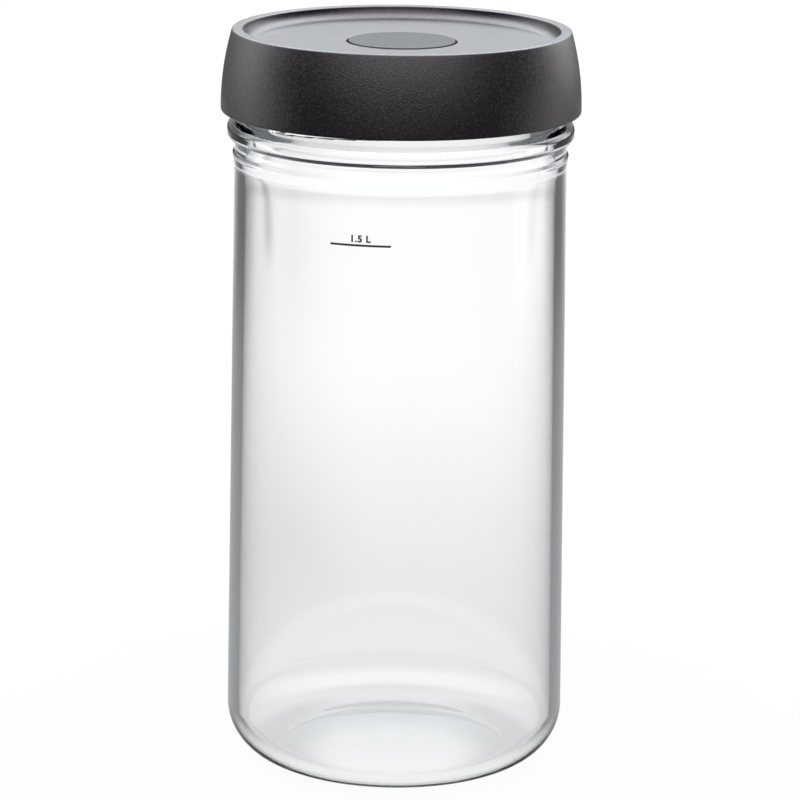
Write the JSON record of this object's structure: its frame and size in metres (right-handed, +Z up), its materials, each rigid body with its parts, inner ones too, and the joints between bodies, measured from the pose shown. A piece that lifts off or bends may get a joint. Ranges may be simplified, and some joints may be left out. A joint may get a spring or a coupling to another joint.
{
  "type": "fermentation jar",
  "caption": "Tall straight glass jar with a screw neck and a dark plastic lid whose central button vents the fermentation gas.",
  "frame": {"origin": "on the jar's axis, in the plane of its foot ring", "axes": "+Z up along the jar's axis, -Y towards the fill line, +X to its right"},
  "size_m": [0.118, 0.118, 0.2461],
  "materials": {
    "jar_glass": "clear pressed soda-lime glass with a faint grey-green edge tint",
    "gasket_silicone": "translucent pale grey silicone",
    "liner_plastic": "black moulded polypropylene",
    "cover_plastic": "black plastic with a fine spark-eroded grain and a satin sheen",
    "button_plastic": "black plastic, a little more matte than the cover",
    "spring_steel": "drawn stainless wire",
    "valve_silicone": "translucent pale silicone",
    "print_ink": "black screen-printed ink, fired on the glass"
  },
  "bodies": {
    "jar": {"glass_jar": "jar_glass"},
    "seal": {"lid_gasket": "gasket_silicone"},
    "lid": {"lid_liner": "liner_plastic", "lid_cover": "cover_plastic", "button_spring": "spring_steel"},
    "button": {"vent_button": "button_plastic", "valve_seal": "valve_silicone"}
  },
  "joints": [
    {"name": "lid_lift", "type": "slide", "parent": "jar", "child": "seal", "axis": [0, 0, 1], "range_m": [0, 0.018]},
    {"name": "lid_turn", "type": "hinge", "parent": "seal", "child": "lid", "pos_m": [0, 0, 0.2356], "axis": [0, 0, 1], "range_deg": [0, 540]},
    {"name": "button_press", "type": "slide", "parent": "lid", "child": "button", "axis": [0, 0, 1], "range_m": [-0.0022, 0], "stiffness_N_per_m": 1200, "springref_m": 0.0025, "deforming": ["button_spring"]}
  ],
  "couplings": [
    {"joint": "lid_lift", "follows": "lid_turn", "m_per_rad": 0.0019099}
  ]
}
